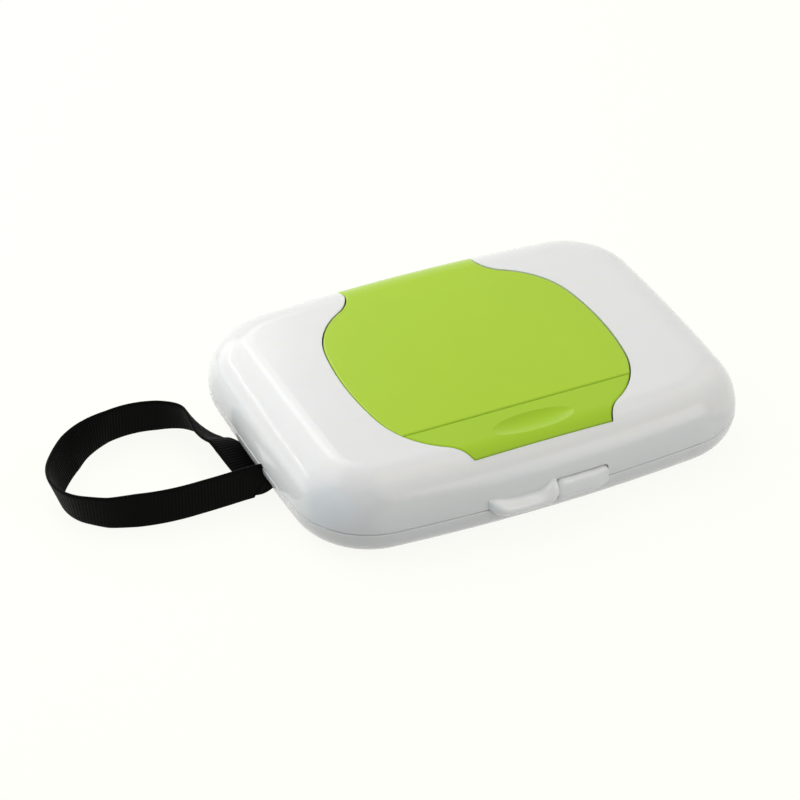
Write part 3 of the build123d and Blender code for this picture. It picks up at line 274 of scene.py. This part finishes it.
# Lip on the cover's rim that closes the line between the shells
CASE_LENGTH = 165.0 * MM
CASE_DEPTH = 126.0 * MM
CORNER_RADIUS = 28.0 * MM
FRONT_BOW = 2.5 * MM
SIDE_BOW = 0.5 * MM
CORNER_X = CASE_LENGTH / 2 - SIDE_BOW - CORNER_RADIUS
CORNER_Y = CASE_DEPTH / 2 - FRONT_BOW - CORNER_RADIUS
LIP_INSET = 0.55 * MM
LIP_WIDTH = 0.6 * MM
LIP_LOW = 11.53 * MM
LIP_HIGH = 11.79 * MM
# Ways that each run of the lip faces, in degrees: the runs stop at the finger tabs and at the rear knuckles
LIP_RUNS = {"left": (95.5, 267.5), "right": (-87.5, 84.5), "rear": (87.6, 92.4)}
LIP_STEP = 0.5


def bow_radius(bow, half_run):
    """Radius of a side that bulges by bow over half_run each way and meets the corners' arcs."""
    return ((bow + CORNER_RADIUS) ** 2 + half_run**2 - CORNER_RADIUS**2) / (2 * bow)


def case_point(turn, inset):
    """The plan point of the shells' outer edge that faces that way, moved inwards by inset."""
    front = bow_radius(FRONT_BOW, CORNER_X)
    side = bow_radius(SIDE_BOW, CORNER_Y)
    facing = math.atan2(abs(math.sin(turn)), abs(math.cos(turn)))
    if facing < math.atan2(CORNER_Y, side - CASE_LENGTH / 2 + CORNER_X):
        x, y, radius = CASE_LENGTH / 2 - side, 0.0, side
    elif facing < math.atan2(front - CASE_DEPTH / 2 + CORNER_Y, CORNER_X):
        x, y, radius = CORNER_X, CORNER_Y, CORNER_RADIUS
    else:
        x, y, radius = 0.0, CASE_DEPTH / 2 - front, front
    x += (radius - inset) * math.cos(facing)
    y += (radius - inset) * math.sin(facing)
    return math.copysign(x, math.cos(turn)), math.copysign(y, math.sin(turn))


def lip_run(name, start, end):
    """One run of the lip: a thin square rail that follows the shells' edge."""
    build = bmesh.new()
    count = round((end - start) / LIP_STEP)
    rings = []
    for i in range(count + 1):
        turn = math.radians(start + (end - start) * i / count)
        outer = case_point(turn, LIP_INSET)
        inner = case_point(turn, LIP_INSET + LIP_WIDTH)
        corners = ((*outer, LIP_LOW), (*outer, LIP_HIGH), (*inner, LIP_HIGH), (*inner, LIP_LOW))
        rings.append([build.verts.new(corner) for corner in corners])
    piece = skinned(name, build, rings)
    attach(piece, "cover")
    return piece


lips = [lip_run("cover_lip_" + name, start, end) for name, (start, end) in LIP_RUNS.items()]


# Materials
def new_material(name):
    """An empty material and its node tree."""
    material = bpy.data.materials.new(name)
    material.use_nodes = True
    material.node_tree.nodes.clear()
    return material, material.node_tree


def new_shader(tree):
    """The tree's Principled shader, joined to its output."""
    shader = tree.nodes.new("ShaderNodeBsdfPrincipled")
    output = tree.nodes.new("ShaderNodeOutputMaterial")
    tree.links.new(shader.outputs["BSDF"], output.inputs["Surface"])
    return shader


def place(tree):
    """Object coordinates, in metres."""
    return tree.nodes.new("ShaderNodeTexCoord").outputs["Object"]


def drawn_out(tree, where, share, turn=0.0):
    """The coordinates, turned about Z and drawn out along X: noise on them runs in lines."""
    node = tree.nodes.new("ShaderNodeMapping")
    node.inputs["Rotation"].default_value = (0, 0, turn)
    node.inputs["Scale"].default_value = (share, 1.0, 1.0)
    tree.links.new(where, node.inputs["Vector"])
    return node.outputs["Vector"]


def noise(tree, vector, scale, detail=4.0, roughness=0.5):
    """A noise texture's factor."""
    node = tree.nodes.new("ShaderNodeTexNoise")
    node.inputs["Scale"].default_value = scale
    node.inputs["Detail"].default_value = detail
    node.inputs["Roughness"].default_value = roughness
    tree.links.new(vector, node.inputs["Vector"])
    return node.outputs["Fac"]


def ramp(tree, factor, stops, interpolation="LINEAR"):
    """A colour ramp: stops are (position, colour)."""
    node = tree.nodes.new("ShaderNodeValToRGB")
    node.color_ramp.interpolation = interpolation
    elements = node.color_ramp.elements
    while len(elements) < len(stops):
        elements.new(0.5)
    for element, (position, colour) in zip(elements, stops):
        element.position = position
        element.color = (*colour, 1)
    tree.links.new(factor, node.inputs["Fac"])
    return node.outputs["Color"]


def scaled(tree, factor, low, high):
    """The factor, from 0 to 1, mapped to low to high."""
    node = tree.nodes.new("ShaderNodeMapRange")
    node.inputs["To Min"].default_value = low
    node.inputs["To Max"].default_value = high
    tree.links.new(factor, node.inputs["Value"])
    return node.outputs["Result"]


def share_past(tree, value, start, end, interpolation="LINEAR"):
    """0 where the value is at start, rising to 1 where it is at end."""
    node = tree.nodes.new("ShaderNodeMapRange")
    node.interpolation_type = interpolation
    node.inputs["From Min"].default_value = start
    node.inputs["From Max"].default_value = end
    tree.links.new(value, node.inputs["Value"])
    return node.outputs["Result"]


def share_towards(tree, vector, direction, start, end):
    """0 to 1, smoothly, as the vector's reach in that direction goes from start to end."""
    dot = tree.nodes.new("ShaderNodeVectorMath")
    dot.operation = "DOT_PRODUCT"
    dot.inputs[1].default_value = direction
    tree.links.new(vector, dot.inputs[0])
    return share_past(tree, dot.outputs["Value"], start, end, "SMOOTHSTEP")


def joined(tree, operation, first, second):
    """The Math operation's result for two sockets."""
    node = tree.nodes.new("ShaderNodeMath")
    node.operation = operation
    tree.links.new(first, node.inputs[0])
    tree.links.new(second, node.inputs[1])
    return node.outputs[0]


def bump(tree, shader, height, distance, strength=1.0):
    """A bump of up to that distance, in metres, on the shader."""
    node = tree.nodes.new("ShaderNodeBump")
    node.inputs["Strength"].default_value = strength
    node.inputs["Distance"].default_value = distance
    tree.links.new(height, node.inputs["Height"])
    tree.links.new(node.outputs["Normal"], shader.inputs["Normal"])


def mixed(tree, kind, factor, first, second):
    """Two colours mixed by the factor. The factor is a number or a socket, the second a colour or a socket."""
    node = tree.nodes.new("ShaderNodeMix")
    node.data_type = "RGBA"
    node.blend_type = kind
    if isinstance(factor, float):
        node.inputs["Factor"].default_value = factor
    else:
        tree.links.new(factor, node.inputs["Factor"])
    tree.links.new(first, node.inputs["A"])
    if isinstance(second, tuple):
        node.inputs["B"].default_value = (*second, 1)
    else:
        tree.links.new(second, node.inputs["B"])
    return node.outputs["Result"]


def plain_white(tree):
    """White as a socket."""
    node = tree.nodes.new("ShaderNodeRGB")
    node.outputs[0].default_value = (1, 1, 1, 1)
    return node.outputs[0]


# Scales of the plastics' noises, per metre
DRIFT_SCALE = 28.0
MARKS_SCALE = 190.0
GRAIN_SCALE = 900.0
# Flow streaks in the pearl plastic: the scale along the case as a share of the scale across it, and the colours
FLOW_STRETCH = 0.12
FLOW_SCALE = 170.0
FLOW_STOPS = [(0.32, (0.985, 0.995, 1.0)), (0.5, (1, 1, 1)), (0.68, (1.0, 0.99, 0.978))]
# Scratches: the same share, the way that each of two sets runs, in radians, with its scale, and the threshold
SCRATCH_STRETCH = 0.02
SCRATCH_SETS = ((0.5, 2600.0), (2.1, 3300.0))
SCRATCH_STOPS = [(0.62, (0, 0, 0)), (0.72, (1, 1, 1))]
SCRATCH_COLOUR = (0.8, 0.8, 0.8)
SCRATCH_DULLING = 0.012
SCRATCH_ROUGHENING = 0.04
PLASTIC_IOR = 1.5
COAT_ROUGHNESS = 0.08
SUBSURFACE_DEPTH = 2.0 * MM
# Painted highlight on the finger tabs: how far they stand out from the case's front where it begins and is
# full, and how much lighter they are painted
TAB_FROM = 0.2 * MM
TAB_FULL = 1.5 * MM
TAB_PAINTED_HIGHLIGHT = (1.1, 1.1, 1.1)


def hairlines(tree, where, turn, scale):
    """One set of fine handling scratches."""
    lines = noise(tree, drawn_out(tree, where, SCRATCH_STRETCH, turn), scale, 2.0)
    return ramp(tree, lines, SCRATCH_STOPS)


def painted_light_by_slope(tree, painted_light_tints):
    """Painted light and reflection: a tint that follows the way the surface faces, lighter or coloured on the
    slopes where light and reflections fall.
    """
    facing = tree.nodes.new("ShaderNodeTexCoord").outputs["Normal"]
    tint = plain_white(tree)
    for direction, start, full, colour in painted_light_tints:
        share = share_towards(tree, facing, Vector(direction).normalized(), start, full)
        tint = mixed(tree, "MIX", share, tint, colour)
    return tint


def flow_lines(tree, where):
    """Long soft streaks of pearl pigment along the case, bluish to rosy."""
    streaks = noise(tree, drawn_out(tree, where, FLOW_STRETCH), FLOW_SCALE, 2.0, 0.6)
    return ramp(tree, streaks, FLOW_STOPS)


def tab_painted_highlight(tree, where):
    """Painted highlight: the finger tabs, which stand out from the front face, are painted a shade lighter than
    the rest.
    """
    axes = tree.nodes.new("ShaderNodeSeparateXYZ")
    tree.links.new(where, axes.inputs[0])
    out = share_past(tree, axes.outputs["Y"], -CASE_DEPTH / 2 - TAB_FROM, -CASE_DEPTH / 2 - TAB_FULL)
    return mixed(tree, "MIX", out, plain_white(tree), TAB_PAINTED_HIGHLIGHT)


def moulded_plastic(name, colour, spread, roughness, grain, coat=0.0, specular=0.5, subsurface=0.0, painted_light_tints=None):
    """Injection-moulded plastic: slow drifts of tone, a fine grain, handling marks and hairline scratches; with
    painted-light tints, also flow streaks, painted light by slope and a painted highlight on the finger tabs.
    """
    material, tree = new_material(name)
    shader = new_shader(tree)
    where = place(tree)
    dark = tuple(c * (1 - spread) for c in colour)
    light = tuple(min(1.0, c * (1 + spread)) for c in colour)
    base = ramp(tree, noise(tree, where, DRIFT_SCALE, 3.0), [(0.3, dark), (0.7, light)])
    # Painted light: tints by slope and the tabs' painted highlight, with the flow streaks, multiplied into the
    # base colour
    if painted_light_tints:
        for layer in (painted_light_by_slope(tree, painted_light_tints), flow_lines(tree, where), tab_painted_highlight(tree, where)):
            base = mixed(tree, "MULTIPLY", 1.0, base, layer)
    scratches = mixed(tree, "LIGHTEN", 1.0, *[hairlines(tree, where, *row) for row in SCRATCH_SETS])
    dulled = mixed(tree, "MULTIPLY", scaled(tree, scratches, 0.0, SCRATCH_DULLING), base, SCRATCH_COLOUR)
    tree.links.new(dulled, shader.inputs["Base Color"])
    marks = scaled(tree, noise(tree, where, MARKS_SCALE, 6.0, 0.65), roughness * 0.75, roughness * 1.25)
    worn = joined(tree, "ADD", marks, scaled(tree, scratches, 0.0, SCRATCH_ROUGHENING))
    tree.links.new(worn, shader.inputs["Roughness"])
    bump(tree, shader, noise(tree, where, GRAIN_SCALE, 2.0), grain)
    shader.inputs["IOR"].default_value = PLASTIC_IOR
    shader.inputs["Specular IOR Level"].default_value = specular
    shader.inputs["Coat Weight"].default_value = coat
    shader.inputs["Coat Roughness"].default_value = COAT_ROUGHNESS
    if subsurface:
        shader.inputs["Subsurface Weight"].default_value = subsurface
        shader.inputs["Subsurface Radius"].default_value = (1.0, 1.0, 1.0)
        shader.inputs["Subsurface Scale"].default_value = SUBSURFACE_DEPTH
    return material


# Fine lines along drawn steel
DRAWN_STRETCH = 0.08
DRAWN_SCALE = 2600.0
DRAWN_HEIGHT = 0.01 * MM


def brushed_metal(name, colour, roughness):
    """Drawn steel wire or rod: fine lines along it."""
    material, tree = new_material(name)
    shader = new_shader(tree)
    lines = noise(tree, drawn_out(tree, place(tree), DRAWN_STRETCH), DRAWN_SCALE, 3.0)
    shade = tuple(c * 0.8 for c in colour)
    tree.links.new(ramp(tree, lines, [(0.35, shade), (0.65, colour)]), shader.inputs["Base Color"])
    tree.links.new(scaled(tree, lines, roughness * 0.7, roughness * 1.3), shader.inputs["Roughness"])
    bump(tree, shader, lines, DRAWN_HEIGHT)
    shader.inputs["Metallic"].default_value = 1.0
    return material


# The webbing's threads and fuzz
THREAD_SCALE = 3200.0
THREAD_HEIGHT = 0.06 * MM
FUZZ_SCALE = 420.0


def webbing(name, colour):
    """Black grosgrain: fine threads over the ribs, matt, with a soft sheen."""
    material, tree = new_material(name)
    shader = new_shader(tree)
    where = place(tree)
    threads = noise(tree, where, THREAD_SCALE, 2.0)
    fuzz = noise(tree, where, FUZZ_SCALE, 5.0)
    light = tuple(c * 1.9 for c in colour)
    tree.links.new(ramp(tree, threads, [(0.35, colour), (0.7, light)]), shader.inputs["Base Color"])
    tree.links.new(scaled(tree, fuzz, 0.4, 0.6), shader.inputs["Roughness"])
    bump(tree, shader, threads, THREAD_HEIGHT, 0.7)
    shader.inputs["Specular IOR Level"].default_value = 0.04
    shader.inputs["Sheen Weight"].default_value = 0.08
    shader.inputs["Sheen Roughness"].default_value = 0.35
    return material


def set_material(piece, material):
    """The piece shows only this material."""
    piece.data.materials.clear()
    piece.data.materials.append(material)


# Painted light and reflection on the pearl shell: slopes facing these ways are painted lighter or tinted.
# Direction a slope faces, where its tint begins and is full, and the tint
PEARL_PAINTED_LIGHT = [
    ((0.25, -0.55, 0.75), 0.86, 0.95, (1.10, 1.085, 1.06)),
    ((0.0, -0.95, 0.25), 0.9, 0.98, (1.04, 1.055, 1.035)),
    ((0.6, -0.5, 0.6), 0.88, 0.97, (1.09, 1.075, 1.05)),
    ((-0.75, -0.45, 0.35), 0.85, 0.98, (0.98, 1.03, 1.06)),
    ((-0.95, 0.1, 0.2), 0.85, 0.97, (1.10, 1.13, 1.13)),
]
GLOSSY_GRAIN = 0.004 * MM
SATIN_GRAIN = 0.006 * MM
SOFT_GRAIN = 0.01 * MM
# Colour, spread of its tone, roughness, height of the grain, and what else the plastic has
PLASTICS = {
    # The pearl shell's tints are painted light and reflection by slope, and it also gets the tabs' painted
    # highlight
    "pearl_shell": (
        (0.828, 0.826, 0.82), 0.006, 0.16, GLOSSY_GRAIN, {"coat": 0.2, "subsurface": 0.3, "painted_light_tints": PEARL_PAINTED_LIGHT},
    ),
    "green_lid": ((0.418, 0.642, 0.007), 0.012, 0.2, GLOSSY_GRAIN, {"specular": 0.4}),
    "green_strip": ((0.388, 0.615, 0.006), 0.012, 0.22, GLOSSY_GRAIN, {"specular": 0.4}),
    "green_frame": ((0.345, 0.54, 0.008), 0.02, 0.3, SATIN_GRAIN, {}),
    "white_panel": ((0.84, 0.84, 0.83), 0.01, 0.4, SOFT_GRAIN, {}),
    "soft_white": ((0.8, 0.81, 0.81), 0.015, 0.5, SOFT_GRAIN, {}),
    "seal_grey": ((0.6, 0.62, 0.63), 0.03, 0.55, SOFT_GRAIN, {}),
}
METALS = {
    "pin_steel": ((0.62, 0.62, 0.63), 0.25),
    "spring_steel": ((0.55, 0.55, 0.56), 0.22),
}
STRAP_BLACK = (0.0007, 0.0007, 0.0006)

materials = {name: moulded_plastic(name, *look, **extra) for name, (*look, extra) in PLASTICS.items()}
materials.update({name: brushed_metal(name, *look) for name, look in METALS.items()})
materials["strap_webbing"] = webbing("strap_webbing", STRAP_BLACK)
for row in frame["record"]["subparts"]:
    if row["node"] in nodes:
        set_material(nodes[row["node"]], materials[row["material_slot"]])
set_material(nodes["release_button"], materials["green_strip"])
for band in (strap, bight):
    set_material(band, materials["strap_webbing"])
for lip in lips:
    set_material(lip, materials["pearl_shell"])

# The white ground as the camera and reflections see it, and the way to the side where floor and sky light less
WHITE = (1.0, 1.0, 0.965, 1)
DIM_SIDE = (-0.6, -0.8, 0.0)


def seen_directly(tree):
    """1 for a ray that shows the ground: from the camera, through glass or off gloss. Otherwise 0."""
    rays = tree.nodes.new("ShaderNodeLightPath")
    either = joined(tree, "MAXIMUM", rays.outputs["Is Camera Ray"], rays.outputs["Is Transmission Ray"])
    return joined(tree, "MAXIMUM", either, rays.outputs["Is Glossy Ray"])


def split_by_ray(tree, lighting, seen, output_kind):
    """The tree shows its seen shader to rays that show the ground, and its lighting shader to the others."""
    mix = tree.nodes.new("ShaderNodeMixShader")
    tree.links.new(seen_directly(tree), mix.inputs["Fac"])
    tree.links.new(lighting.outputs[0], mix.inputs[1])
    tree.links.new(seen.outputs[0], mix.inputs[2])
    output = tree.nodes.new(output_kind)
    tree.links.new(mix.outputs[0], output.inputs["Surface"])


# Floor
FLOOR_HALF_SIZE = 4.0
FLOOR_SEGMENTS = 8
FLOOR_DROP = 0.2 * MM
FLOOR_GLOW = 0.91
FLOOR_DIFFUSE = (0.11, 0.11, 0.09, 1)
FLOOR_STOPS = [(0.0, (0.66, 0.66, 0.65)), (1.0, (0.44, 0.45, 0.45))]
FLOOR_DIM_FROM = 0.06
FLOOR_DIM_FULL = 0.16
floor_mesh = bpy.data.meshes.new("floor")
floor_build = bmesh.new()
bmesh.ops.create_grid(
    floor_build, x_segments=FLOOR_SEGMENTS, y_segments=FLOOR_SEGMENTS, size=FLOOR_HALF_SIZE
)
floor_build.to_mesh(floor_mesh)
floor_build.free()
floor = bpy.data.objects.new("floor", floor_mesh)
bpy.context.collection.objects.link(floor)
floor.location.z = -FLOOR_DROP
floor_material, floor_tree = new_material("floor")
floor_diffuse = floor_tree.nodes.new("ShaderNodeBsdfDiffuse")
floor_diffuse.inputs["Color"].default_value = FLOOR_DIFFUSE
floor_glow = floor_tree.nodes.new("ShaderNodeEmission")
floor_glow.inputs["Color"].default_value = WHITE
floor_glow.inputs["Strength"].default_value = FLOOR_GLOW
floor_seen = floor_tree.nodes.new("ShaderNodeAddShader")
floor_tree.links.new(floor_diffuse.outputs[0], floor_seen.inputs[0])
floor_tree.links.new(floor_glow.outputs[0], floor_seen.inputs[1])
floor_plain = floor_tree.nodes.new("ShaderNodeBsdfDiffuse")
floor_dimming = share_towards(floor_tree, place(floor_tree), DIM_SIDE, FLOOR_DIM_FROM, FLOOR_DIM_FULL)
floor_tree.links.new(ramp(floor_tree, floor_dimming, FLOOR_STOPS), floor_plain.inputs["Color"])
split_by_ray(floor_tree, floor_plain, floor_seen, "ShaderNodeOutputMaterial")
floor.data.materials.append(floor_material)

# Light
SKY_STOPS = [(0.0, (0.44, 0.44, 0.44)), (1.0, (0.66, 0.66, 0.65))]
SKY_DIM_TINT = (0.48, 0.55, 0.6)
SKY_DIM_FROM = 0.3
SKY_DIM_FULL = 1.0
world = bpy.data.worlds.new("world")
bpy.context.scene.world = world
world.use_nodes = True
world_tree = world.node_tree
world_tree.nodes.clear()
sky_place = world_tree.nodes.new("ShaderNodeTexCoord").outputs["Generated"]
sky_axes = world_tree.nodes.new("ShaderNodeSeparateXYZ")
world_tree.links.new(sky_place, sky_axes.inputs[0])
sky_colour = ramp(world_tree, sky_axes.outputs["Z"], SKY_STOPS, "EASE")
sky_dimming = share_towards(world_tree, sky_place, DIM_SIDE, SKY_DIM_FROM, SKY_DIM_FULL)
sky = world_tree.nodes.new("ShaderNodeBackground")
world_tree.links.new(mixed(world_tree, "MULTIPLY", sky_dimming, sky_colour, SKY_DIM_TINT), sky.inputs["Color"])
backdrop = world_tree.nodes.new("ShaderNodeBackground")
backdrop.inputs["Color"].default_value = WHITE
split_by_ray(world_tree, sky, backdrop, "ShaderNodeOutputWorld")

# Softboxes: place, size and watts
LAMPS = {
    "lamp_key": ((-0.33, 0.38, 0.36), (0.8, 0.8), 2.45),
    "lamp_sheen": ((0.12, 0.88, 0.70), (0.35, 0.55), 0.88),
    "lamp_strip": ((-0.75, 1.02, 0.52), (0.9, 0.03), 0.6),
    "lamp_fill": ((0.55, -0.8, 0.6), (0.7, 0.5), 1.6),
}


def softbox(name, place_at, size, watts):
    """A rectangular area lamp at a place, turned to the case."""
    data = bpy.data.lights.new(name, "AREA")
    data.shape = "RECTANGLE"
    data.size, data.size_y = size
    data.energy = watts
    lamp = bpy.data.objects.new(name, data)
    bpy.context.collection.objects.link(lamp)
    turned = (-Vector(place_at)).to_track_quat("-Z", "Y").to_matrix().to_4x4()
    lamp.matrix_world = Matrix.Translation(Vector(place_at)) @ turned


for name, row in LAMPS.items():
    softbox(name, *row)

bpy.context.scene.view_settings.view_transform = "Standard"
